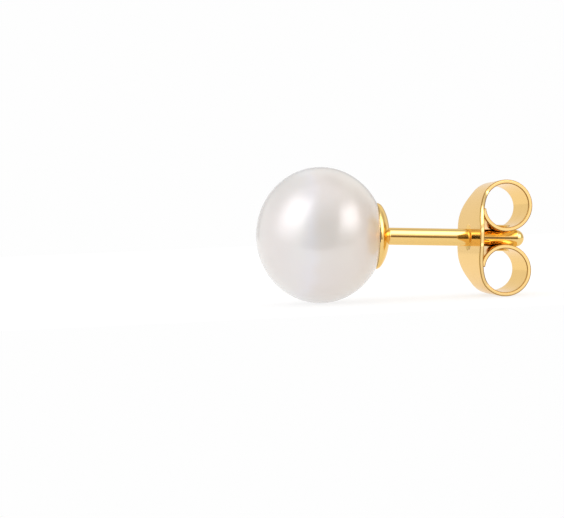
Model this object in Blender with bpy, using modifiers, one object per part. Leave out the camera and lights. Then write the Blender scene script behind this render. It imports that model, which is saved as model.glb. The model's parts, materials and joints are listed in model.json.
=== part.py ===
"""A pearl stud earring with a butterfly clutch, lying on a surface.

Each piece is modelled along its post: the pearl's centre is at the origin of the post's frame, the
post runs along the frame's +Z, and the clutch's two scrolls lie towards +X and -X. The frame is then
laid on its side with the post towards the world's +X, and tipped until the pearl and the clutch's
lower scroll both touch the ground at Z = 0. All sizes are in metres.
"""

import math

import bmesh
import bpy
import numpy as np
from mathutils import Euler, Vector

# The pearl: a little shorter along the post than it is wide.
PEARL_DIAMETER = 0.0075
PEARL_LENGTH = 0.00705

# The cup behind the pearl: thick where the post is soldered on, thin at its rim.
CUP_DIAMETER = 0.00376
CUP_MIDDLE_THICKNESS = 0.00026
CUP_RIM_THICKNESS = 0.0001
CUP_TAPER_POWER = 4
CEMENT_GAP = 0.00003

# The post, its collar of solder, and the peg that holds the pearl.
POST_DIAMETER = 0.00095
POST_LENGTH = 0.00755
SOLDER_FILLET = 0.00009
PEG_DIAMETER = 0.0008
PEG_LENGTH = 0.0036
PEG_GAP = 0.00004

# The clutch: one strip of sheet metal with an oval plate in its middle.
EAR_GAP = 0.00445
SHEET = 0.00022
PLATE_WIDTH = 0.006
PLATE_LENGTH = 0.0057
PLATE_LEAD = 0.00031
BAND_WIDTH = 0.0033
NECK_BLEND = 0.0006
SCROLL_DIAMETER = 0.00282
TROUGH_DEPTH = 0.00016
CLUTCH_GAP = 0.000035
DIMPLE_LIP = 0.00003
DIMPLE_WIDTH = 0.00015
DIMPLE_DEPTH = 0.00012
DIMPLE_MARGIN = 0.00013
FREE_END_GAP = 0.00005
FREE_END_ANGLE = math.radians(-172)

# How finely round shapes are divided.
PEARL_SEGMENTS = 56
POST_SEGMENTS = 32
CUP_STEPS = 8
TIP_STEPS = 6
FILLET_STEPS = 3
PLATE_EDGE_STEPS = 4
RING_STEPS = 3
ARC_STEP = math.radians(9.5)
WELD = 1e-7

# The search for the tilt at which the earring comes to rest.
STEEPEST_TILT = math.radians(30)
TILT_HALVINGS = 50

# Sizes worked out from the ones above.
PEARL_RADIUS = PEARL_DIAMETER / 2
PEARL_HALF_LENGTH = PEARL_LENGTH / 2
POST_RADIUS = POST_DIAMETER / 2
PEG_RADIUS = PEG_DIAMETER / 2
CUP_BACK = PEARL_HALF_LENGTH + CEMENT_GAP + CUP_MIDDLE_THICKNESS
CLUTCH_FRONT = CUP_BACK + EAR_GAP
HOLE_RADIUS = POST_RADIUS + CLUTCH_GAP
SCROLL_RADIUS = (SCROLL_DIAMETER - SHEET) / 2
TROUGH_RADIUS = HOLE_RADIUS + SHEET / 2
SCROLL_HEIGHT = TROUGH_RADIUS - TROUGH_DEPTH + SCROLL_RADIUS
SCROLL_REACH = SCROLL_RADIUS + PLATE_LEAD
DIMPLE_RADIUS = HOLE_RADIUS + DIMPLE_LIP + DIMPLE_WIDTH
PLATE_FLAT = DIMPLE_RADIUS + DIMPLE_MARGIN


def clear_scene():
    """Remove every object that a new file starts with."""
    for item in list(bpy.data.objects):
        bpy.data.objects.remove(item, do_unlink=True)


def plain_finish(name, color, roughness, metallic):
    """Make a plain material from a colour and two finish values."""
    material = bpy.data.materials.new(name)
    material.use_nodes = True
    shader = material.node_tree.nodes["Principled BSDF"]
    shader.inputs["Base Color"].default_value = (*color, 1.0)
    shader.inputs["Roughness"].default_value = roughness
    shader.inputs["Metallic"].default_value = metallic
    return material


def add_part(name, mesh, material, collection, parent):
    """Put a mesh in the scene as one piece of the earring."""
    part = bpy.data.objects.new(name, mesh)
    part.data.materials.append(material)
    part.parent = parent
    collection.objects.link(part)
    return part


def turned_part(name, outline, segments, material, collection, parent):
    """Turn an outline of (radius, height) points about Z, with a Screw modifier."""
    mesh = bpy.data.meshes.new(name)
    points = [(radius, 0, height) for radius, height in outline]
    edges = [(i, i + 1) for i in range(len(points) - 1)]
    mesh.from_pydata(points, edges, [])
    part = add_part(name, mesh, material, collection, parent)
    turn = part.modifiers.new("Turn", "SCREW")
    turn.axis = "Z"
    turn.steps = segments
    turn.render_steps = segments
    turn.use_merge_vertices = True
    turn.merge_threshold = WELD
    turn.use_smooth_shade = True
    return part


def spread(start, end, count):
    """Return count + 1 evenly spaced values from start to end."""
    return [start + (end - start) * i / count for i in range(count + 1)]


def pearl_skin(angle, offset=0.0):
    """Point on the pearl, by its angle from +Z, moved out along the normal: (radius, height)."""
    normal = Vector((math.sin(angle) / PEARL_RADIUS, math.cos(angle) / PEARL_HALF_LENGTH)).normalized()
    radius = PEARL_RADIUS * math.sin(angle) + offset * normal.x
    height = PEARL_HALF_LENGTH * math.cos(angle) + offset * normal.y
    return radius, height


def make_pearl(material, collection, parent):
    """The pearl, with the blind hole that takes the peg."""
    hole_radius = PEG_RADIUS + PEG_GAP
    hole_bottom = PEARL_HALF_LENGTH + CEMENT_GAP - PEG_LENGTH - PEG_GAP
    mouth_angle = math.asin(hole_radius / PEARL_RADIUS)
    skin = [pearl_skin(angle) for angle in spread(mouth_angle, math.pi, PEARL_SEGMENTS // 2)]
    outline = [(0.0, hole_bottom), (hole_radius, hole_bottom)] + skin
    return turned_part("pearl", outline, PEARL_SEGMENTS, material, collection, parent)


def cup_outline():
    """The cup's outline from the solder at the post, over its back and rim, and in to the peg."""
    rim_angle = math.asin(CUP_DIAMETER / 2 / (PEARL_RADIUS + CEMENT_GAP + CUP_RIM_THICKNESS))
    fillet_radius = POST_RADIUS + SOLDER_FILLET
    start_angle = math.asin(fillet_radius / (PEARL_RADIUS + CEMENT_GAP + CUP_MIDDLE_THICKNESS))
    back = []
    for angle in spread(start_angle, rim_angle, CUP_STEPS):
        taper = (angle / rim_angle) ** CUP_TAPER_POWER
        thickness = CUP_MIDDLE_THICKNESS + (CUP_RIM_THICKNESS - CUP_MIDDLE_THICKNESS) * taper
        back.append(pearl_skin(angle, CEMENT_GAP + thickness))
    seat_angle = math.asin(PEG_RADIUS / (PEARL_RADIUS + CEMENT_GAP))
    seat = [pearl_skin(angle, CEMENT_GAP) for angle in spread(rim_angle, seat_angle, CUP_STEPS)]
    return back + seat


def make_post_and_cup(material, collection, parent):
    """Post, solder collar, cup and peg, one soldered solid, turned from a single outline."""
    tip_centre = CUP_BACK + POST_LENGTH - POST_RADIUS
    tip = [(POST_RADIUS * math.sin(a), tip_centre + POST_RADIUS * math.cos(a))
           for a in spread(0, math.pi / 2, TIP_STEPS)]
    cup = cup_outline()
    centre_radius = POST_RADIUS + SOLDER_FILLET
    centre_height = cup[0][1] + SOLDER_FILLET
    solder = [(centre_radius - SOLDER_FILLET * math.cos(a), centre_height - SOLDER_FILLET * math.sin(a))
              for a in spread(0, math.pi / 2, FILLET_STEPS)]
    peg_end = PEARL_HALF_LENGTH + CEMENT_GAP - PEG_LENGTH
    peg = [(PEG_RADIUS, peg_end), (0.0, peg_end)]
    outline = tip + solder[:-1] + cup + peg
    return turned_part("post_and_cup", outline, POST_SEGMENTS, material, collection, parent)


def smooth_max(first, second, blend):
    """The larger of two values, with the corner between them rounded over the given span."""
    overlap = max(blend - abs(first - second), 0.0) / blend
    return max(first, second) + overlap * overlap * blend / 4


def half_width(length):
    """Half the strip's width at a length from the hole: the oval plate, then the band."""
    share = min(length / (PLATE_LENGTH / 2), 1.0)
    oval = PLATE_WIDTH / 2 * math.sqrt(1 - share * share)
    return smooth_max(oval, BAND_WIDTH / 2, NECK_BLEND)


def shoulder_bend():
    """Radius and angle of the bend that leaves the plate's flat and runs smoothly into the scroll."""
    rise = SCROLL_HEIGHT - PLATE_FLAT
    radius = (SCROLL_REACH ** 2 + rise ** 2 - SCROLL_RADIUS ** 2) / (2 * PLATE_LEAD)
    return radius, math.atan2(rise, radius - SCROLL_REACH)


def free_end_tuck(bend):
    """How far the free end curls in from the round to stay clear of the shoulder's back."""
    end_height = SCROLL_HEIGHT + SCROLL_RADIUS * math.sin(FREE_END_ANGLE)
    slope = math.asin((end_height - PLATE_FLAT) / bend)
    plate_back = bend * (1 - math.cos(slope)) + SHEET / math.cos(slope)
    end_radius = (SCROLL_REACH - plate_back - FREE_END_GAP) / -math.cos(FREE_END_ANGLE)
    return max(SCROLL_RADIUS - end_radius, 0.0)


def strip_line():
    """The strip's middle line from the end of its flat to its free end: (length, along, height)."""
    bend, bend_angle = shoulder_bend()
    line = []
    for angle in spread(0, bend_angle, math.ceil(2 * bend_angle / ARC_STEP)):
        along = bend * (1 - math.cos(angle))
        line.append((PLATE_FLAT + bend * angle, along, PLATE_FLAT + bend * math.sin(angle)))
    tuck = free_end_tuck(bend)
    bottom = -math.pi / 2
    start_angle = math.pi - bend_angle
    turn = start_angle - FREE_END_ANGLE
    for angle in spread(start_angle, FREE_END_ANGLE, math.ceil(turn / ARC_STEP))[1:]:
        curl = max((bottom - angle) / (bottom - FREE_END_ANGLE), 0.0)
        radius = SCROLL_RADIUS - tuck * curl * curl
        length = PLATE_FLAT + bend * bend_angle + (start_angle - angle) * SCROLL_RADIUS
        along = SCROLL_REACH + radius * math.cos(angle)
        height = SCROLL_HEIGHT + radius * math.sin(angle)
        line.append((length, along, height))
    return line


def across_places(half):
    """Places across the strip, with lines at the trough's middle, flanks and edges."""
    trough = math.sqrt(TROUGH_RADIUS ** 2 - (TROUGH_RADIUS - TROUGH_DEPTH) ** 2)
    side = [trough / 2, trough, (trough + half) / 2, half]
    return [-place for place in reversed(side)] + [0.0] + side


def sheet_point(along, height, across):
    """A point of the strip's middle surface, in the clutch's own frame."""
    return Vector((height, across, along + SHEET / 2))


def plate_rings():
    """Rings of the plate's upper half, from the dimpled hole out to the plate's flat edge."""
    side = spread(0, PLATE_FLAT, PLATE_EDGE_STEPS)
    edge = [(s, -half_width(s)) for s in side[:-1]]
    edge += [(PLATE_FLAT, across) for across in across_places(half_width(PLATE_FLAT))]
    edge += [(s, half_width(s)) for s in reversed(side[:-1])]
    angles = spread(-math.pi / 2, math.pi / 2, len(edge) - 1)
    circle = [(math.cos(angle), math.sin(angle)) for angle in angles]
    lip = HOLE_RADIUS + DIMPLE_LIP
    rings = [[sheet_point(DIMPLE_DEPTH, HOLE_RADIUS * c, HOLE_RADIUS * s) for c, s in circle]]
    for share in spread(0, 1, RING_STEPS):
        radius = lip + DIMPLE_WIDTH * share
        depth = DIMPLE_DEPTH * (1 + math.cos(math.pi * share)) / 2
        rings.append([sheet_point(depth, radius * c, radius * s) for c, s in circle])
    for share in spread(0, 1, RING_STEPS)[1:]:
        ring = []
        for (c, s), (height, across) in zip(circle, edge):
            ring.append(sheet_point(0.0, DIMPLE_RADIUS * c * (1 - share) + height * share,
                                    DIMPLE_RADIUS * s * (1 - share) + across * share))
        rings.append(ring)
    return rings


def strip_rows():
    """Rows across the strip, from the plate's flat edge to the free end, with the post's trough."""
    rows = []
    for length, along, height in strip_line():
        row = []
        for across in across_places(half_width(length)):
            clear = math.sqrt(max(TROUGH_RADIUS ** 2 - across ** 2, 0.0))
            row.append(sheet_point(along, max(height, clear), across))
        rows.append(row)
    return rows


def add_grid(mesh, rows):
    """Add a grid of points to a mesh, with a face between each four neighbours."""
    corners = [[mesh.verts.new(point) for point in row] for row in rows]
    for row, next_row in zip(corners, corners[1:]):
        for i in range(len(row) - 1):
            mesh.faces.new((row[i], row[i + 1], next_row[i + 1], next_row[i]))


def make_clutch(material, collection, parent):
    """The butterfly clutch: half of the strip's middle surface, mirrored, then given its thickness."""
    sheet = bmesh.new()
    add_grid(sheet, plate_rings())
    add_grid(sheet, strip_rows())
    bmesh.ops.remove_doubles(sheet, verts=sheet.verts, dist=WELD)
    bmesh.ops.recalc_face_normals(sheet, faces=sheet.faces)
    mesh = bpy.data.meshes.new("butterfly_clutch")
    sheet.to_mesh(mesh)
    sheet.free()
    mesh.shade_smooth()
    clutch = add_part("butterfly_clutch", mesh, material, collection, parent)
    clutch.location = (0, 0, CLUTCH_FRONT)
    mirror = clutch.modifiers.new("Lower scroll", "MIRROR")
    mirror.use_axis = (True, False, False)
    mirror.merge_threshold = WELD
    thickness = clutch.modifiers.new("Sheet", "SOLIDIFY")
    thickness.thickness = SHEET
    thickness.offset = 0
    thickness.use_even_offset = True
    return clutch


def points_in_frame(part, frame):
    """Every corner of a finished piece, in the post's frame, as rows of x, y, z."""
    graph = bpy.context.evaluated_depsgraph_get()
    mesh = part.evaluated_get(graph).data
    corners = np.empty(3 * len(mesh.vertices))
    mesh.vertices.foreach_get("co", corners)
    matrix = np.array(frame.matrix_world.inverted() @ part.matrix_world)
    return corners.reshape(-1, 3) @ matrix[:3, :3].T + matrix[:3, 3]


def laid(points, tilt):
    """Points of the post's frame after it is laid on its side and tipped."""
    rotation = np.array(Euler((0, math.pi / 2 + tilt, 0)).to_matrix())
    return points @ rotation.T


def lay_on_ground(frame, pearl, clutch, parts):
    """Tip the frame until pearl and clutch both touch the ground, and centre it over the origin."""
    bpy.context.view_layer.update()
    pearl_points = points_in_frame(pearl, frame)
    clutch_points = points_in_frame(clutch, frame)
    low, high = -STEEPEST_TILT, STEEPEST_TILT
    for _ in range(TILT_HALVINGS):
        tilt = (low + high) / 2
        if laid(pearl_points, tilt)[:, 2].min() < laid(clutch_points, tilt)[:, 2].min():
            low = tilt
        else:
            high = tilt
    everything = np.vstack([laid(points_in_frame(part, frame), tilt) for part in parts])
    lowest = everything.min(axis=0)
    highest = everything.max(axis=0)
    frame.rotation_euler = (0, math.pi / 2 + tilt, 0)
    frame.location = (-(lowest[0] + highest[0]) / 2, -(lowest[1] + highest[1]) / 2, -lowest[2])
    bpy.context.view_layer.update()


def main():
    clear_scene()
    collection = bpy.data.collections.new("pearl_earring")
    bpy.context.scene.collection.children.link(collection)
    frame = bpy.data.objects.new("post_frame", None)
    collection.objects.link(frame)
    nacre = plain_finish("nacre", (0.86, 0.80, 0.76), 0.2, 0.0)
    gold = plain_finish("polished_gold", (0.90, 0.68, 0.34), 0.12, 1.0)
    pearl = make_pearl(nacre, collection, frame)
    setting = make_post_and_cup(gold, collection, frame)
    clutch = make_clutch(gold, collection, frame)
    lay_on_ground(frame, pearl, clutch, [pearl, setting, clutch])


main()
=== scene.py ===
# %% [markdown]
# A pearl ear stud, dressed for the camera.
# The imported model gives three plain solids: a pearl, a post with its cup, and a butterfly clutch. Each
# is faceted, because it was made for fitting and for motion. This lesson turns the same three forms
# again, fine enough that no facet shows, and gives each one the surface its maker gave it.

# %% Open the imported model
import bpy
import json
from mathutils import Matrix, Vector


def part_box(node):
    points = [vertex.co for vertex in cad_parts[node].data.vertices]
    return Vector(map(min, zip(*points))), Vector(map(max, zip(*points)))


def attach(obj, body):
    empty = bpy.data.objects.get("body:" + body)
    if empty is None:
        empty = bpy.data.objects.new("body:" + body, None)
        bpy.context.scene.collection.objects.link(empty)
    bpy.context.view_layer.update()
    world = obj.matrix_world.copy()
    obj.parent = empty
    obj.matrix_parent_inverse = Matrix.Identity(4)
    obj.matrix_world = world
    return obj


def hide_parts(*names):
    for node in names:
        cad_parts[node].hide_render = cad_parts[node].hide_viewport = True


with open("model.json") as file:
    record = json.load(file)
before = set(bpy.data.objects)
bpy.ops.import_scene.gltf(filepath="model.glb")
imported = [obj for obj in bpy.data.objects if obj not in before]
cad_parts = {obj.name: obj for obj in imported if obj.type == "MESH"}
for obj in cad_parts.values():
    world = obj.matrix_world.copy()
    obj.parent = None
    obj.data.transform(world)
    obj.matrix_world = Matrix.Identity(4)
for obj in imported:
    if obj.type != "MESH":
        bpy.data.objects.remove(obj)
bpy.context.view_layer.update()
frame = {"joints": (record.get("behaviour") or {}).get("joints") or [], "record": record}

# %% [markdown]
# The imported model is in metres. Millimetres suit an ear stud better, so every length below is written
# as a number of millimetres.

# %% Blender's modules, and one unit
import json
import math

import bmesh
import bpy
from mathutils import Matrix, Vector

MM = 0.001

# %% [markdown]
# The stud lies on its pearl and on the clutch's lower scroll, so its post slopes a little. Rather than
# work in the room's axes, everything is drawn in the stud's own axes, as a goldsmith would hold it:
# X up, Y towards the photographer, Z along the post. The clutch slides along the post, so the packed
# joint gives that direction, and the clutch's stated face gives a place on it.

# %% The stud's own axes
PEARL_LENGTH = 7.05 * MM
CEMENT_GAP = 0.03 * MM
CUP_MIDDLE_THICKNESS = 0.26 * MM
EAR_GAP = 4.45 * MM
CUP_BACK = PEARL_LENGTH / 2 + CEMENT_GAP + CUP_MIDDLE_THICKNESS
CLUTCH_FRONT = CUP_BACK + EAR_GAP

post_axis = Vector(frame["joints"][0]["axis"]).normalized()
toward_camera = Vector((0, -1, 0))
up_axis = toward_camera.cross(post_axis)
ear_face = Vector(frame["record"]["mounts"][0]["pos_m"])
ear_face.y = 0
pearl_centre = ear_face - post_axis * CLUTCH_FRONT
stud_axes = Matrix((up_axis, toward_camera, post_axis)).transposed()
stud_frame = Matrix.Translation(pearl_centre) @ stud_axes.to_4x4()
print("pearl's centre, mm:", [round(v / MM, 3) for v in pearl_centre])

# %% [markdown]
# The photograph was taken from the side, with a long lens a little under the pearl's equator. Only a
# few numbers fix such a view: how far away the camera stood, where the pearl's centre falls in the
# picture, and how far the camera was turned. They were found by drawing the solids' outlines over the
# photograph until they met.

# %% The camera
PHOTO_WIDTH = 564
PHOTO_HEIGHT = 518
FOCAL_PIXELS = 1233.5
MM_PER_PIXEL = 0.05503
PEARL_PIXEL = (320.0, 235.13)
YAW = math.radians(3.75)
PITCH = math.radians(0.885)
ROLL = math.radians(0.896)
SENSOR = 36.0
NEAREST = 1 * MM
FARTHEST = 2000 * MM


def camera_axes():
    """Right, up and forward of the photograph's camera."""
    away = -toward_camera
    forward = math.cos(YAW) * away + math.sin(YAW) * post_axis
    right = math.cos(YAW) * post_axis - math.sin(YAW) * away
    tipped_forward = math.cos(PITCH) * forward - math.sin(PITCH) * up_axis
    tipped_up = math.cos(PITCH) * up_axis + math.sin(PITCH) * forward
    rolled_right = math.cos(ROLL) * right + math.sin(ROLL) * tipped_up
    rolled_up = math.cos(ROLL) * tipped_up - math.sin(ROLL) * right
    return rolled_right, rolled_up, tipped_forward


right, up, forward = camera_axes()
ray = (forward + right * (PEARL_PIXEL[0] - PHOTO_WIDTH / 2) / FOCAL_PIXELS
       - up * (PEARL_PIXEL[1] - PHOTO_HEIGHT / 2) / FOCAL_PIXELS)
camera_data = bpy.data.cameras.new("camera")
camera_data.sensor_width = SENSOR
camera_data.lens = FOCAL_PIXELS / PHOTO_WIDTH * SENSOR
camera_data.clip_start = NEAREST
camera_data.clip_end = FARTHEST
camera = bpy.data.objects.new("camera", camera_data)
bpy.context.scene.collection.objects.link(camera)
camera_place = pearl_centre - ray * FOCAL_PIXELS * MM_PER_PIXEL * MM
camera_turn = Matrix((right, up, -forward)).transposed()
camera.matrix_world = Matrix.Translation(camera_place) @ camera_turn.to_4x4()
bpy.context.scene.camera = camera
print("lens, mm:", round(camera_data.lens, 1), "height, mm:", round(camera_place.z / MM, 2))

# %% [markdown]
# Materials are graphs of nodes. One small helper keeps them readable: it adds a node, sets its
# properties, and fills each input with a number, a colour or another node's output. Colours are
# written as the hex values a designer would pick on screen, and turned to linear light once.

# %% Helpers for colours and nodes
def linear(hex_colour):
    """An sRGB hex colour as linear red, green, blue and alpha."""
    parts = [int(hex_colour[i:i + 2], 16) / 255 for i in (1, 3, 5)]
    return [p / 12.92 if p <= 0.04045 else ((p + 0.055) / 1.055) ** 2.4 for p in parts] + [1.0]


def add_node(tree, kind, inputs=None, **settings):
    """Add a node with its settings, and give its inputs values or links."""
    node = tree.nodes.new(kind)
    for name, value in settings.items():
        setattr(node, name, value)
    for name, value in (inputs or {}).items():
        if isinstance(value, bpy.types.NodeSocket):
            tree.links.new(value, node.inputs[name])
        else:
            node.inputs[name].default_value = value
    return node


def set_stops(ramp, stops):
    """Put a colour ramp's stops: position and hex colour."""
    elements = ramp.color_ramp.elements
    while len(elements) > 1:
        elements.remove(elements[-1])
    elements[0].position = stops[0][0]
    elements[0].color = linear(stops[0][1])
    for position, colour in stops[1:]:
        elements.new(position).color = linear(colour)


def new_material(name):
    """An empty material: its node tree and its output node."""
    material = bpy.data.materials.new(name)
    material.use_nodes = True
    material.node_tree.nodes.clear()
    return material, material.node_tree, add_node(material.node_tree, "ShaderNodeOutputMaterial")


def stud_place(tree):
    """The shaded point in the stud's own axes, from the pearl's centre: X up, Y to the front, Z along."""
    place = add_node(tree, "ShaderNodeTexCoord").outputs["Object"]
    return add_node(tree, "ShaderNodeMapping", {
        "Vector": place, "Location": pearl_centre, "Rotation": stud_axes.to_euler(),
    }, vector_type="TEXTURE").outputs[0]


print("a grey of #808080 in linear light:", round(linear("#808080")[0], 3))

# %% [markdown]
# The pearl is nacre: thousands of thin plates of aragonite laid down by the oyster, each about half a
# micron thick. Light goes a little way in and comes back, so the body glows softly. The stack of
# plates mirrors at many surfaces, so its highlight is stronger than one surface gives, blurred at
# the base and crisper at the skin. An index above aragonite's own stands in for that stack.
# The same plates colour the light by interference, which a pearl dealer calls overtone: here a
# neutral white with a breath of lilac away from the post and rose in the middle. Towards the cup the
# colour warms to cream and then gold: a painted warm reflection of the gold cup, darkest and most
# golden at its rim.

# %% Nacre
NACRE_INDEX = 1.75
NACRE_DEPTH = 0.35 * MM
NACRE_PLATE_NANOMETRES = 420
OVERTONE_ZONE = 2.6 * MM
OVERTONE_WANDER = 0.12
RIPPLE = 1.1 * MM
RIPPLE_DEPTH = 0.004 * MM
# how far from the far pole to the drill hole, and the colour there: overtone, then the cup's painted
# reflection
OVERTONE_AND_CUP_REFLECTION = [(0.0, "#D6D0CC"), (0.27, "#DCD9D6"), (0.37, "#DCD9DA"), (0.46, "#D9D3CE"), (0.58, "#D8D1CA"),
            (0.72, "#D8D1C8"), (0.84, "#D4CABF"), (0.94, "#D2BCA2"), (1.0, "#CDAF8A")]


def make_nacre(half_length):
    """Saltwater pearl nacre, polished by tumbling; half_length is the pearl's, along its drill hole."""
    material, tree, output = new_material("akoya_nacre")
    place = stud_place(tree)
    parts = add_node(tree, "ShaderNodeSeparateXYZ", {0: place})
    cloud = add_node(tree, "ShaderNodeTexNoise", {"Vector": place, "Scale": 1 / OVERTONE_ZONE, "Detail": 2.0,
                                                  "Roughness": 0.5})
    wander = add_node(tree, "ShaderNodeMapRange", {"Value": cloud.outputs["Fac"],
                                                   "To Min": -OVERTONE_WANDER, "To Max": OVERTONE_WANDER})
    share = add_node(tree, "ShaderNodeMapRange", {"Value": parts.outputs["Z"], "From Min": -half_length,
                                                  "From Max": half_length})
    zone = add_node(tree, "ShaderNodeMath", {0: share.outputs[0], 1: wander.outputs[0]}, operation="ADD")
    # overtone, and near the cup a painted warm reflection of the gold cup
    overtone_and_cup_reflection = add_node(tree, "ShaderNodeValToRGB", {"Fac": zone.outputs[0]})
    set_stops(overtone_and_cup_reflection, OVERTONE_AND_CUP_REFLECTION)
    ripple = add_node(tree, "ShaderNodeTexNoise", {"Vector": place, "Scale": 1 / RIPPLE, "Detail": 1.0})
    bump = add_node(tree, "ShaderNodeBump", {"Strength": 1.0, "Distance": RIPPLE_DEPTH,
                                             "Height": ripple.outputs["Fac"]})
    shader = add_node(tree, "ShaderNodeBsdfPrincipled", {
        "Base Color": overtone_and_cup_reflection.outputs["Color"],
        "Roughness": 0.3,
        "IOR": NACRE_INDEX,
        "Subsurface Weight": 0.35,
        "Subsurface Radius": (1.0, 0.85, 0.75),
        "Subsurface Scale": NACRE_DEPTH,
        "Coat Weight": 1.0,
        "Coat Roughness": 0.17,
        "Coat IOR": NACRE_INDEX,
        "Thin Film Thickness": NACRE_PLATE_NANOMETRES,
        "Thin Film IOR": 1.7,
        "Normal": bump.outputs["Normal"],
        "Coat Normal": bump.outputs["Normal"],
    })
    tree.links.new(shader.outputs["BSDF"], output.inputs["Surface"])
    return material


nacre = make_nacre(PEARL_LENGTH / 2)
print("nodes in the nacre:", len(nacre.node_tree.nodes))

# %% [markdown]
# The metal is 14 carat yellow gold. The post and cup were polished on a felt wheel, so they mirror the
# room with hardly any blur. The clutch was stamped from rolled sheet, bent, and tumbled in a barrel
# of steel shot, which leaves its faces bright but a little softer than the post.
# A metal's colour is its reflection. The faces share one gold. The cut face is painted a shade paler,
# a painted highlight along the sheet's edge, and the rounded corner beside it is painted duller and
# darker, a painted shade line.
# Real polishing marks are a few microns wide, too fine for the picture, so they are drawn about as
# wide as one of its pixels. They run along the post, and along the strip that the sheet was cut from.

# %% Gold
GOLD = "#EECA81"
GOLD_AT_GRAZING = "#FFEFD2"
WHEEL_MARK = 0.05 * MM
ROLLING_GRAIN = 0.06 * MM
BLUR_PATCH = 0.9 * MM
POLISH_DEPTH = 0.00003 * MM
ROLLING_DEPTH = 0.00008 * MM
ALONG_POST = (1, 1, 0.1)
ALONG_STRIP = (0.15, 1, 1)
EVEN = (1, 1, 1)


def make_gold(name, roughness, spread, grain, grain_depth, stretch, colour=GOLD):
    """Yellow gold with a given finish: its blur, how much that varies, and its marks' size and depth."""
    material, tree, output = new_material(name)
    place = stud_place(tree)
    drawn = add_node(tree, "ShaderNodeMapping", {"Vector": place, "Scale": stretch})
    marks = add_node(tree, "ShaderNodeTexNoise", {"Vector": drawn.outputs[0], "Scale": 1 / grain,
                                                  "Detail": 3.0})
    cloud = add_node(tree, "ShaderNodeTexNoise", {"Vector": place, "Scale": 1 / BLUR_PATCH, "Detail": 2.0})
    blur = add_node(tree, "ShaderNodeMapRange", {"Value": cloud.outputs["Fac"], "From Min": 0.3,
                                                 "From Max": 0.7, "To Min": roughness - spread,
                                                 "To Max": roughness + spread})
    bump = add_node(tree, "ShaderNodeBump", {"Strength": 1.0, "Distance": grain_depth,
                                             "Height": marks.outputs["Fac"]})
    shader = add_node(tree, "ShaderNodeBsdfPrincipled", {
        "Base Color": linear(colour),
        "Metallic": 1.0,
        "Specular Tint": linear(GOLD_AT_GRAZING),
        "Roughness": blur.outputs[0],
        "Normal": bump.outputs["Normal"],
    })
    tree.links.new(shader.outputs["BSDF"], output.inputs["Surface"])
    return material


polished_gold = make_gold("wheel_polished_gold", roughness=0.07, spread=0.015, grain=WHEEL_MARK,
                          grain_depth=POLISH_DEPTH, stretch=ALONG_POST)
sheet_gold = make_gold("rolled_gold_sheet", roughness=0.14, spread=0.03, grain=ROLLING_GRAIN,
                       grain_depth=ROLLING_DEPTH, stretch=ALONG_STRIP)
# the cut face's paler gold is a painted highlight along the sheet's edge
highlit_edge_gold = make_gold("cut_edge_gold_painted_highlight", roughness=0.1, spread=0.02, grain=ROLLING_GRAIN,
                      grain_depth=POLISH_DEPTH, stretch=EVEN, colour="#F2D08E")
# the rounded corners' darker gold is painted shade beside the cut face
shaded_corner_gold = make_gold("corner_gold_painted_shade", roughness=0.25, spread=0.03, grain=ROLLING_GRAIN,
                        grain_depth=POLISH_DEPTH, stretch=EVEN, colour="#AD8649")
print("finishes:", [gold.name for gold in (polished_gold, sheet_gold, highlit_edge_gold, shaded_corner_gold)])

# %% [markdown]
# A pearl is a turned form, and so are the cup and the post: one outline swept round the post's axis.
# Blender's Screw modifier does that. Its result is turned into a plain mesh, so that hard corners can
# be marked sharp and the rest shaded smooth.

# %% Turning an outline
TURN_STEPS = 128
WELD = 0.0001 * MM
SHARP_CORNER = math.radians(35)


def spread_out(start, end, count):
    """Return count + 1 evenly spaced values from start to end."""
    return [start + (end - start) * i / count for i in range(count + 1)]


def finished(name, source, body, node, rounding=None):
    """Turn an object with modifiers into a plain smooth piece, which stands for a node of the model.

    rounding, where there is one, is a function that rounds the mesh's edges first.
    """
    bpy.context.view_layer.update()
    graph = bpy.context.evaluated_depsgraph_get()
    mesh = bpy.data.meshes.new_from_object(source.evaluated_get(graph))
    if rounding:
        rounding(mesh)
    mesh.transform(source.matrix_world)
    piece = bpy.data.objects.new(name, mesh)
    bpy.context.scene.collection.objects.link(piece)
    bpy.data.objects.remove(source)
    mesh.shade_smooth()
    mesh.set_sharp_from_angle(angle=SHARP_CORNER)
    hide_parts(node)
    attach(piece, body)
    mesh.calc_loop_triangles()
    print(name, "triangles:", len(mesh.loop_triangles),
          "size, mm:", [round(v / MM, 2) for v in piece.dimensions])
    return piece


def turned(name, outline, material):
    """An object whose outline of (radius, height) points is swept round the post's axis."""
    mesh = bpy.data.meshes.new(name)
    points = [(radius, 0, height) for radius, height in outline]
    mesh.from_pydata(points, [(i, i + 1) for i in range(len(points) - 1)], [])
    mesh.materials.append(material)
    piece = bpy.data.objects.new(name, mesh)
    bpy.context.scene.collection.objects.link(piece)
    piece.matrix_world = stud_frame
    turn = piece.modifiers.new("Turn", "SCREW")
    turn.axis = "Z"
    turn.steps = TURN_STEPS
    turn.render_steps = TURN_STEPS
    turn.use_merge_vertices = True
    turn.merge_threshold = WELD
    return piece


print("each step of a turned piece, degrees:", 360 / TURN_STEPS)

# %% [markdown]
# The pearl is a little shorter along its drill hole than it is wide, which is why the photograph shows
# it taller than it is long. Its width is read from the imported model, and its skin is drawn a few
# microns smaller, so that nothing of it stands outside the faceted solid's box. Its outline starts at
# the bottom of the blind hole, where the peg goes in, and runs over the skin to the far pole.

# %% The pearl
PEG_RADIUS = 0.4 * MM
PEG_LENGTH = 3.6 * MM
PEG_GAP = 0.04 * MM
PEARL_RINGS = 96
SKIN_INSET = 0.004 * MM

pearl_low, pearl_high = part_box("pearl")
pearl_radius = (pearl_high.y - pearl_low.y) / 2


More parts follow.
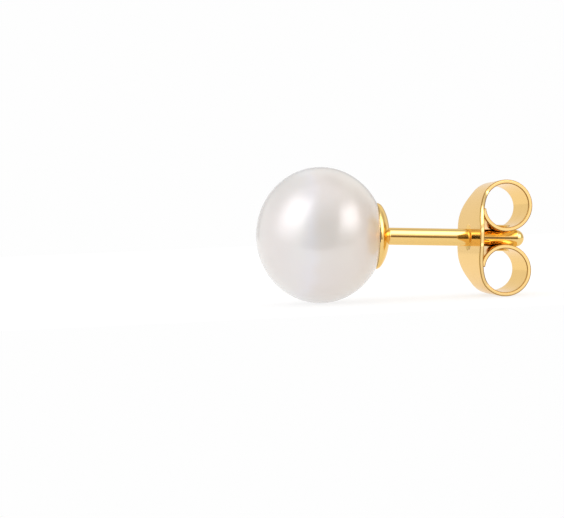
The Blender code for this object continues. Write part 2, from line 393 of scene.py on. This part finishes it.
def pearl_skin(angle, offset=0.0):
    """Point on the pearl by its angle from the post, moved out along the normal: (radius, height)."""
    slope = Vector((math.sin(angle) / pearl_radius, math.cos(angle) / (PEARL_LENGTH / 2))).normalized()
    return (pearl_radius * math.sin(angle) + offset * slope.x,
            PEARL_LENGTH / 2 * math.cos(angle) + offset * slope.y)


hole_radius = PEG_RADIUS + PEG_GAP
hole_bottom = PEARL_LENGTH / 2 + CEMENT_GAP - PEG_LENGTH - PEG_GAP
mouth = math.asin(hole_radius / pearl_radius)
pearl_outline = [(0.0, hole_bottom), (hole_radius, hole_bottom)]
pearl_outline += [pearl_skin(a, -SKIN_INSET) for a in spread_out(mouth, math.pi, PEARL_RINGS)]
pearl = finished("pearl_nacre", turned("pearl_turned", pearl_outline, nacre), "stud", "pearl")

# %% [markdown]
# The cup follows the pearl's back, so its outline is the pearl's own skin moved out: by the cement gap
# on the inside, and by the cup's thickness on the outside, which thins towards the rim. The goldsmith
# presses the rim down on the pearl, so the gap all but closes there, and rounds it so that it doesn't
# cut. A small fillet of solder joins the cup to the post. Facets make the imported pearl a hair
# narrower than the 7.5 mm it was drawn at, and the cup's reach is worked out from that full size.

# %% The cup, the post and the peg
CUP_RADIUS = 1.88 * MM
CUP_RIM_THICKNESS = 0.1 * MM
CUP_TAPER_POWER = 4
POST_RADIUS = 0.475 * MM
POST_LENGTH = 7.55 * MM
SOLDER_FILLET = 0.09 * MM
CUP_STEPS = 28
RIM_ROUND = 0.24 * MM
RIM_GAP = 0.008 * MM
RIM_STEPS = 14
TIP_STEPS = 14
SOLDER_STEPS = 8
NOMINAL_PEARL_RADIUS = 3.75 * MM


def cup_thickness(angle):
    """The cup's thickness at an angle from the post, before its rim is rounded."""
    taper = (angle / rim_angle) ** CUP_TAPER_POWER
    return CUP_MIDDLE_THICKNESS + (CUP_RIM_THICKNESS - CUP_MIDDLE_THICKNESS) * taper


def seat_gap(angle):
    """The gap between cup and pearl at an angle from the post: the cement's, closing at the rim."""
    return CEMENT_GAP + (RIM_GAP - CEMENT_GAP) * (angle / rim_angle) ** CUP_TAPER_POWER


def rim_point(turn):
    """A point of the rim's quarter round: turn 0 is on the cup's back, a quarter turn is on its seat."""
    angle = round_start + (rim_angle - round_start) * math.sin(turn)
    back = CEMENT_GAP + cup_thickness(angle)
    return pearl_skin(angle, seat_gap(angle) + (back - seat_gap(angle)) * math.cos(turn))


rim_angle = math.asin(CUP_RADIUS / (NOMINAL_PEARL_RADIUS + CEMENT_GAP + CUP_RIM_THICKNESS))
round_start = rim_angle - RIM_ROUND / NOMINAL_PEARL_RADIUS
fillet_edge = POST_RADIUS + SOLDER_FILLET
cup_start = math.asin(fillet_edge / (NOMINAL_PEARL_RADIUS + CEMENT_GAP + CUP_MIDDLE_THICKNESS))
cup_back = [pearl_skin(a, CEMENT_GAP + cup_thickness(a))
            for a in spread_out(cup_start, round_start, CUP_STEPS)]
cup_rim = [rim_point(turn) for turn in spread_out(0, math.pi / 2, RIM_STEPS)]
seat_end = math.asin(PEG_RADIUS / (NOMINAL_PEARL_RADIUS + CEMENT_GAP))
cup_seat = [pearl_skin(a, seat_gap(a)) for a in spread_out(rim_angle, seat_end, CUP_STEPS)]

tip_centre = CUP_BACK + POST_LENGTH - POST_RADIUS
tip = [(POST_RADIUS * math.sin(a), tip_centre + POST_RADIUS * math.cos(a))
       for a in spread_out(0, math.pi / 2, TIP_STEPS)]
solder_centre = cup_back[0][1] + SOLDER_FILLET
solder = [(fillet_edge - SOLDER_FILLET * math.cos(a), solder_centre - SOLDER_FILLET * math.sin(a))
          for a in spread_out(0, math.pi / 2, SOLDER_STEPS)]
peg_end = PEARL_LENGTH / 2 + CEMENT_GAP - PEG_LENGTH
post_outline = tip + solder[:-1] + cup_back + cup_rim[1:-1] + cup_seat
post_outline += [(PEG_RADIUS, peg_end), (0.0, peg_end)]
post = finished("post_and_cup_polished", turned("post_turned", post_outline, polished_gold),
                "stud", "post_and_cup")

# %% [markdown]
# The clutch is one strip of sheet gold. Its middle is an oval plate with a dimpled hole for the post,
# and each end is drawn back and rolled into a scroll. The two scrolls press on the post from both
# sides, and that spring holds the clutch where it is pushed. The strip is drawn as a grid of points on
# its middle surface, across and along, for the upper half alone. Mirror makes the lower half, Solidify
# gives the sheet its thickness, and a bevel rounds the cut edges as the tumbling barrel does.

# %% The clutch's sizes
SHEET = 0.22 * MM
PLATE_WIDTH = 6.0 * MM
PLATE_LENGTH = 5.7 * MM
PLATE_LEAD = 0.31 * MM
BAND_WIDTH = 3.3 * MM
NECK_BLEND = 0.6 * MM
SCROLL_DIAMETER = 2.82 * MM
TROUGH_DEPTH = 0.16 * MM
CLUTCH_GAP = 0.035 * MM
DIMPLE_LIP = 0.03 * MM
DIMPLE_WIDTH = 0.24 * MM
DIMPLE_DEPTH = 0.2 * MM
DIMPLE_MARGIN = 0.04 * MM
FREE_END_GAP = 0.05 * MM
FREE_END_ANGLE = math.radians(-172)

HOLE_RADIUS = POST_RADIUS + CLUTCH_GAP
SCROLL_RADIUS = (SCROLL_DIAMETER - SHEET) / 2
TROUGH_RADIUS = HOLE_RADIUS + SHEET / 2
SCROLL_HEIGHT = TROUGH_RADIUS - TROUGH_DEPTH + SCROLL_RADIUS
SCROLL_REACH = SCROLL_RADIUS + PLATE_LEAD
DIMPLE_RADIUS = HOLE_RADIUS + DIMPLE_LIP + DIMPLE_WIDTH
PLATE_FLAT = DIMPLE_RADIUS + DIMPLE_MARGIN
print("scroll's middle above the post, mm:", round(SCROLL_HEIGHT / MM, 3))

# %% [markdown]
# Seen from the side the strip is a flat, a gentle bend and then nearly a full turn. The bend's radius
# is the one that meets the scroll without a kink: two circles that touch have their centres and their
# touching point in one line. The free end is tucked in a little, so that it clears the plate's back.

# %% The strip's line, seen from the side
LINE_STEP = math.radians(3.6)
BEND_FINENESS = 2.5


def strip_line():
    """The strip's middle line from the end of its flat to its free end: (length, along, height)."""
    rise = SCROLL_HEIGHT - PLATE_FLAT
    bend = (SCROLL_REACH ** 2 + rise ** 2 - SCROLL_RADIUS ** 2) / (2 * PLATE_LEAD)
    bend_angle = math.atan2(rise, bend - SCROLL_REACH)
    line = []
    for angle in spread_out(0, bend_angle, math.ceil(BEND_FINENESS * bend_angle / LINE_STEP)):
        line.append((PLATE_FLAT + bend * angle, bend * (1 - math.cos(angle)),
                     PLATE_FLAT + bend * math.sin(angle)))
    # how far the free end is tucked in, to stay clear of the plate's back beside it
    slope = math.asin((SCROLL_HEIGHT + SCROLL_RADIUS * math.sin(FREE_END_ANGLE) - PLATE_FLAT) / bend)
    plate_back = bend * (1 - math.cos(slope)) + SHEET / math.cos(slope)
    tuck = SCROLL_RADIUS + (SCROLL_REACH - plate_back - FREE_END_GAP) / math.cos(FREE_END_ANGLE)
    bottom = -math.pi / 2
    start_angle = math.pi - bend_angle
    turn_count = math.ceil((start_angle - FREE_END_ANGLE) / LINE_STEP)
    for angle in spread_out(start_angle, FREE_END_ANGLE, turn_count)[1:]:
        curl = max((bottom - angle) / (bottom - FREE_END_ANGLE), 0.0)
        radius = SCROLL_RADIUS - max(tuck, 0.0) * curl * curl
        length = PLATE_FLAT + bend * bend_angle + (start_angle - angle) * SCROLL_RADIUS
        line.append((length, SCROLL_REACH + radius * math.cos(angle),
                     SCROLL_HEIGHT + radius * math.sin(angle)))
    return line


def half_width(length):
    """Half the strip's width at a length from the hole: the oval plate, the band, blended between."""
    share = min(length / (PLATE_LENGTH / 2), 1.0)
    oval = PLATE_WIDTH / 2 * math.sqrt(1 - share * share)
    band = BAND_WIDTH / 2
    overlap = max(NECK_BLEND - abs(oval - band), 0.0) / NECK_BLEND
    return max(oval, band) + overlap * overlap * NECK_BLEND / 4


print("strip's length laid flat, mm:", round(2 * strip_line()[-1][0] / MM, 2))

# %% [markdown]
# Two grids meet at the end of the flat. One is a fan of rings from the hole out to the plate's edge,
# dished down near the hole so that the post finds it. The other is the rows of the strip, with a
# trough pressed in where the scroll rides on the post. They share the points between them.

# %% The strip as a grid of points
ACROSS_CELLS = 26
TROUGH_CELLS = 10
SIDE_CELLS = 12
RING_CELLS = 7


def across_places(half):
    """Places across the strip, closer together over the trough."""
    trough = math.sqrt(TROUGH_RADIUS ** 2 - (TROUGH_RADIUS - TROUGH_DEPTH) ** 2)
    middle = spread_out(-trough, trough, TROUGH_CELLS)
    side_count = (ACROSS_CELLS - TROUGH_CELLS) // 2
    return spread_out(-half, -trough, side_count)[:-1] + middle + spread_out(trough, half, side_count)[1:]


def sheet_point(along, height, across):
    """A point of the strip's middle surface: X up, Y across, Z along the post."""
    return Vector((height, across, along + SHEET / 2))


def plate_rings():
    """Rings of the plate's upper half, from the dimpled hole out to the plate's edge."""
    side = spread_out(0, PLATE_FLAT, SIDE_CELLS)
    edge = [(s, -half_width(s)) for s in side[:-1]]
    edge += [(PLATE_FLAT, across) for across in across_places(half_width(PLATE_FLAT))]
    edge += [(s, half_width(s)) for s in reversed(side[:-1])]
    angles = spread_out(-math.pi / 2, math.pi / 2, len(edge) - 1)
    circle = [(math.cos(angle), math.sin(angle)) for angle in angles]
    lip = HOLE_RADIUS + DIMPLE_LIP
    rings = [[sheet_point(DIMPLE_DEPTH, HOLE_RADIUS * c, HOLE_RADIUS * s) for c, s in circle]]
    for share in spread_out(0, 1, RING_CELLS):
        radius = lip + DIMPLE_WIDTH * share
        depth = DIMPLE_DEPTH * (1 + math.cos(math.pi * share)) / 2
        rings.append([sheet_point(depth, radius * c, radius * s) for c, s in circle])
    for share in spread_out(0, 1, 2 * RING_CELLS)[1:]:
        ring = []
        for (c, s), (height, across) in zip(circle, edge):
            ring.append(sheet_point(0.0, DIMPLE_RADIUS * c * (1 - share) + height * share,
                                    DIMPLE_RADIUS * s * (1 - share) + across * share))
        rings.append(ring)
    return rings


def strip_rows():
    """Rows across the strip, from the plate's flat to the free end, with the post's trough."""
    rows = []
    for length, along, height in strip_line():
        row = []
        for across in across_places(half_width(length)):
            clear = math.sqrt(max(TROUGH_RADIUS ** 2 - across ** 2, 0.0))
            row.append(sheet_point(along, max(height, clear), across))
        rows.append(row)
    return rows


def add_grid(mesh, rows):
    """Add a grid of points to a mesh, with a face between each four neighbours."""
    corners = [[mesh.verts.new(point) for point in row] for row in rows]
    for row, next_row in zip(corners, corners[1:]):
        for i in range(len(row) - 1):
            mesh.faces.new((row[i], row[i + 1], next_row[i + 1], next_row[i]))


print("rings round the hole:", len(plate_rings()), "rows along the strip:", len(strip_rows()))

# %% [markdown]
# Solidify thickens the grid evenly to both sides. The bevel is made on the finished mesh rather than by
# a modifier, because the hole's edge has to stay far crisper than the outline's: the post slides
# through it. The cut face gets a paler gold, a painted highlight, and the rounded corners beside it a
# darker gold, painted shade. Together they paint the sheet's edge as a bright line between two fine
# dark ones.

# %% The butterfly clutch
EDGE_ROUND = 0.05 * MM
HOLE_ROUND = 0.02 * MM
EDGE_STEPS = 4
EDGE_ANGLE = math.radians(50)
FACE_SLOT = 0
CUT_SLOT = 1
CORNER_SLOT = 2


def tumbled(mesh):
    """Round the sheet's cut edges: the outline's well, the hole's a little."""
    sheet = bmesh.new()
    sheet.from_mesh(mesh)
    cut = [edge for edge in sheet.edges if edge.is_manifold and edge.calc_face_angle() > EDGE_ANGLE]
    hole_reach = HOLE_RADIUS + DIMPLE_LIP / 2
    at_hole = [edge for edge in cut if all(math.hypot(*v.co.xy) < hole_reach and v.co.z < DIMPLE_DEPTH + SHEET
                                           for v in edge.verts)]
    near_hole = set(at_hole)
    outline = [edge for edge in cut if edge not in near_hole]
    # both bevels give their rounded faces the darker corner gold: painted shade lines
    for chosen, width in ((outline, EDGE_ROUND), (at_hole, HOLE_ROUND)):
        bmesh.ops.bevel(sheet, geom=chosen, offset=width, segments=EDGE_STEPS, profile=0.5, affect="EDGES",
                        clamp_overlap=False, material=CORNER_SLOT)
    print("cut edges rounded:", len(outline), "and at the hole:", len(at_hole))
    sheet.to_mesh(mesh)
    sheet.free()


sheet = bmesh.new()
add_grid(sheet, plate_rings())
add_grid(sheet, strip_rows())
bmesh.ops.remove_doubles(sheet, verts=sheet.verts, dist=WELD)
bmesh.ops.recalc_face_normals(sheet, faces=sheet.faces)
clutch_mesh = bpy.data.meshes.new("clutch_sheet")
sheet.to_mesh(clutch_mesh)
sheet.free()
clutch_mesh.materials.append(sheet_gold)
clutch_mesh.materials.append(highlit_edge_gold)
clutch_mesh.materials.append(shaded_corner_gold)
clutch_mesh.shade_smooth()
clutch_source = bpy.data.objects.new("clutch_sheet", clutch_mesh)
bpy.context.scene.collection.objects.link(clutch_source)
clutch_source.matrix_world = stud_frame @ Matrix.Translation((0, 0, CLUTCH_FRONT))
lower = clutch_source.modifiers.new("Lower scroll", "MIRROR")
lower.merge_threshold = WELD
thickness = clutch_source.modifiers.new("Sheet", "SOLIDIFY")
thickness.thickness = SHEET
thickness.offset = 0
thickness.use_even_offset = True
# the cut face takes the paler edge gold: a painted highlight
thickness.material_offset_rim = CUT_SLOT - FACE_SLOT
clutch = finished("butterfly_clutch_bent", clutch_source, "clutch", "butterfly_clutch", tumbled)

# %% [markdown]
# The stud lies on a sheet of opal acrylic that is lit from below, a usual table for jewellery. Its own
# glow keeps the underside of the pearl bright, and leaves only a soft shadow where the pearl and the
# clutch touch it. The sheet ends just in front of the stud, and that edge shows in the pearl as the
# line where the white table stops and the dark room begins.

# %% The floor
FLOOR_HALF_WIDTH = 400 * MM
FLOOR_FRONT = -10.3 * MM
FLOOR_BACK = 400 * MM
TABLE_GLOW = 0.72


def make_floor():
    """A lit white sheet from just in front of the stud to far behind it."""
    material, tree, output = new_material("opal_acrylic_sheet")
    shader = add_node(tree, "ShaderNodeBsdfPrincipled", {
        "Base Color": linear("#979593"),
        "Roughness": 1.0,
        "Specular IOR Level": 0.0,
        "Emission Color": linear("#FDFEFF"),
        "Emission Strength": TABLE_GLOW,
    })
    tree.links.new(shader.outputs["BSDF"], output.inputs["Surface"])
    mesh = bpy.data.meshes.new("floor")
    corners = [(-FLOOR_HALF_WIDTH, FLOOR_FRONT, 0), (FLOOR_HALF_WIDTH, FLOOR_FRONT, 0),
               (FLOOR_HALF_WIDTH, FLOOR_BACK, 0), (-FLOOR_HALF_WIDTH, FLOOR_BACK, 0)]
    mesh.from_pydata(corners, [], [(0, 1, 2, 3)])
    mesh.materials.append(material)
    floor = bpy.data.objects.new("floor", mesh)
    bpy.context.scene.collection.objects.link(floor)
    print("floor's front edge, mm in front of the post:", round(-FLOOR_FRONT / MM, 1))


make_floor()

# %% [markdown]
# A jewel is photographed inside a tent of white cloth, because it mirrors everything round it. The
# tent is drawn in the world's shader, where a direction is read as two angles: round from the
# camera's side, and up from the horizon. Everything in the tent is then a soft-edged window between
# two angles each way, and these helpers draw one.

# %% Helpers for the tent
def soft_step(tree, value, start, end):
    """0 before start and 1 after end, both in degrees, whichever of them is the larger."""
    return add_node(tree, "ShaderNodeMapRange", {"Value": value, "From Min": math.radians(start),
                                                 "From Max": math.radians(end)},
                    interpolation_type="SMOOTHSTEP").outputs[0]


def combined(tree, operation, *values):
    """Several values multiplied, or the largest of them, by a Math node's operation."""
    result = values[0]
    for value in values[1:]:
        result = add_node(tree, "ShaderNodeMath", {0: result, 1: value}, operation=operation).outputs[0]
    return result


def window(tree, azimuth, elevation, left, right, low, high):
    """1 inside a window of the tent and 0 outside it, each side given as the start and end of its edge.

    left and right also give how far that side leans to the right for each degree of elevation.
    """
    steps = [soft_step(tree, elevation, *low), soft_step(tree, elevation, *high)]
    for start, end, lean in (left, right):
        upright = add_node(tree, "ShaderNodeMath", {0: elevation, 1: -lean, 2: azimuth},
                           operation="MULTIPLY_ADD")
        steps.append(soft_step(tree, upright.outputs[0], start, end))
    return combined(tree, "MULTIPLY", *steps)


# %% [markdown]
# The tent's front is open where the camera looks in, and a gap runs on below it, in front of the
# table. A bright panel stands on each side of the opening. The rest is white cloth, a little greyer
# behind, with a seam high on each side and a fold on the right. A ring of grey card hangs straight
# behind the stud: the post and the clutch mirror it as the fine darker bands that give them form.

# %% The tent's windows
# how dark it is, then the left, right, lower and upper edge of the window
SHADES = {
    "opening": (1.0, (-50, -16, 0.4), (46, 22, 0.4), (-70, -60), (70, 14)),
    "gap below": (0.55, (-50, -30, 0), (72, 58, 0), (-70, -60), (-2, -10)),
    "right seam": (0.3, (84, 108, 0), (172, 150, 0), (50, 60), (82, 70)),
    "left seam": (0.3, (-176, -160, 0), (-96, -120, 0), (16, 34), (86, 76)),
    "right fold": (0.35, (64, 84, 0), (132, 112, 0), (-12, 0), (64, 40)),
}
CARD_SHADE = 0.4
CARD_INSIDE = (18, 22)
CARD_OUTSIDE = (36, 28)
# the left, right, lower and upper edge of the window
PANELS = {
    "left panel": ((-108, -66, 0), (-37, -57, 0.4), (-14, 28), (72, 46)),
    "right panel": ((18, 34, 0.4), (76, 54, 0.5), (-4, 20), (48, 30)),
}
print("darker places:", list(SHADES), "bright places:", list(PANELS))

# %% [markdown]
# The world shows three things. Light that spreads in a matt surface sees an even white room, the
# camera sees plain white, and light that is mirrored sees the tent as it is.

# %% The light tent
CLOTH_FRONT = 1.0
CLOTH_BACK = 0.95
CLOTH_TURN = 0.2
PANEL_GLOW = 2.4
DARKEST = 0.05
ROOM_LIGHT = 1.12
SHOWN_WHITE = 0.991


def tent_seen(tree):
    """How bright the tent is in the shaded direction."""
    direction = add_node(tree, "ShaderNodeTexCoord").outputs["Generated"]
    x, y, z = add_node(tree, "ShaderNodeSeparateXYZ", {0: direction}).outputs
    front = add_node(tree, "ShaderNodeMath", {0: y, 1: -1.0}, operation="MULTIPLY").outputs[0]
    azimuth = add_node(tree, "ShaderNodeMath", {0: x, 1: front}, operation="ARCTAN2").outputs[0]
    elevation = add_node(tree, "ShaderNodeMath", {0: z}, operation="ARCSINE").outputs[0]
    from_back = add_node(tree, "ShaderNodeMath", {0: y}, operation="ARCCOSINE").outputs[0]
    shades = [combined(tree, "MULTIPLY", soft_step(tree, from_back, *CARD_INSIDE),
                       soft_step(tree, from_back, *CARD_OUTSIDE), CARD_SHADE)]
    for shade, *edges in SHADES.values():
        shades.append(combined(tree, "MULTIPLY", window(tree, azimuth, elevation, *edges), shade))
    dark = combined(tree, "MAXIMUM", *shades)
    panels = [window(tree, azimuth, elevation, *edges) for edges in PANELS.values()]
    bright = combined(tree, "MAXIMUM", *panels)
    cloth = add_node(tree, "ShaderNodeMapRange", {"Value": front, "From Min": -1.0, "From Max": CLOTH_TURN,
                                                  "To Min": CLOTH_BACK, "To Max": CLOTH_FRONT})
    shade = add_node(tree, "ShaderNodeMapRange", {"Value": dark, "To Min": 1.0, "To Max": DARKEST})
    walls = combined(tree, "MULTIPLY", cloth.outputs[0], shade.outputs[0])
    return add_node(tree, "ShaderNodeMath", {0: bright, 1: PANEL_GLOW, 2: walls},
                    operation="MULTIPLY_ADD").outputs[0]


def make_tent():
    """The world: what matt surfaces, the camera and mirrors each see of the tent."""
    world = bpy.data.worlds.new("light_tent")
    world.use_nodes = True
    world.cycles.sampling_method = "NONE"
    tree = world.node_tree
    tree.nodes.clear()
    path = add_node(tree, "ShaderNodeLightPath")
    lit = add_node(tree, "ShaderNodeMix", {"Factor": path.outputs["Is Diffuse Ray"], "A": tent_seen(tree),
                                           "B": ROOM_LIGHT}, data_type="FLOAT").outputs[0]
    shown = add_node(tree, "ShaderNodeMix", {"Factor": path.outputs["Is Camera Ray"], "A": lit,
                                             "B": SHOWN_WHITE}, data_type="FLOAT").outputs[0]
    background = add_node(tree, "ShaderNodeBackground", {"Color": linear("#FFFFFF"), "Strength": shown})
    add_node(tree, "ShaderNodeOutputWorld", {"Surface": background.outputs[0]})
    print("nodes in the tent:", len(tree.nodes))
    return world


bpy.context.scene.world = make_tent()

# %% [markdown]
# Gold and pearl want different light. A polished post is a round mirror: it turns each panel into a
# thin line, and without one of its own it looks black down its middle. So the metal gets a few panels
# that the pearl doesn't see, which Blender calls light linking. A retoucher does the same by laying
# one exposure over another. Each panel is placed by the direction it is seen in from the stud, and its
# power is worked out from how bright it has to look: a large one overhead with a brighter core, a
# low card, a dim warm one in front, and one square to the clutch's cut edge.

# %% Panels for the metal
METAL_CENTRE = Vector((3 * MM, 0, 3.5 * MM))


def add_panel(name, pieces, azimuth, elevation, distance, width, height, glow, colour="#FFFFFF"):
    """A soft panel only the given pieces see: angles in degrees, lengths in mm, glow as mirrored."""
    seen_by = bpy.data.collections.new(name + "_seen_by")
    for piece in pieces:
        seen_by.objects.link(piece)
    light = bpy.data.lights.new(name, "AREA")
    light.shape = "RECTANGLE"
    light.size = width * MM
    light.size_y = height * MM
    light.energy = glow * math.pi * light.size * light.size_y
    light.color = linear(colour)[:3]
    panel = bpy.data.objects.new(name, light)
    bpy.context.scene.collection.objects.link(panel)
    a = math.radians(azimuth)
    e = math.radians(elevation)
    outward = Vector((math.sin(a) * math.cos(e), -math.cos(a) * math.cos(e), math.sin(e)))
    panel.location = METAL_CENTRE + outward * distance * MM
    panel.rotation_mode = "QUATERNION"
    panel.rotation_quaternion = outward.to_track_quat("Z", "Y")
    panel.visible_camera = False
    panel.light_linking.receiver_collection = seen_by
    print(name, "watts:", round(light.energy, 5))


metal = [post, clutch]
add_panel("top_panel", metal, azimuth=22, elevation=45, distance=60, width=48, height=80, glow=0.85)
add_panel("top_core", metal, azimuth=22, elevation=48, distance=62, width=48, height=44, glow=1.35)
add_panel("low_card", metal, azimuth=22, elevation=-20, distance=58, width=48, height=14, glow=0.75)
add_panel("front_panel", metal, azimuth=22, elevation=0, distance=60, width=48, height=60, glow=0.22,
          colour="#FFD9B0")
add_panel("edge_panel", [clutch], azimuth=10, elevation=0, distance=50, width=40, height=36, glow=0.95)

# %% [markdown]
# The picture keeps its colours as they are, without a film's curve, so white cloth stays white. Light
# may bounce only four times between mirrors. The gaps between post and scrolls are gold on gold, and
# more bounces would turn them orange, while on the real clutch they end up dark.

# %% The picture's tones
MOST_BOUNCES = 12
MIRROR_BOUNCES = 4

scene = bpy.context.scene
scene.view_settings.view_transform = "Standard"
scene.cycles.max_bounces = MOST_BOUNCES
scene.cycles.glossy_bounces = MIRROR_BOUNCES
print("world:", scene.world.name)
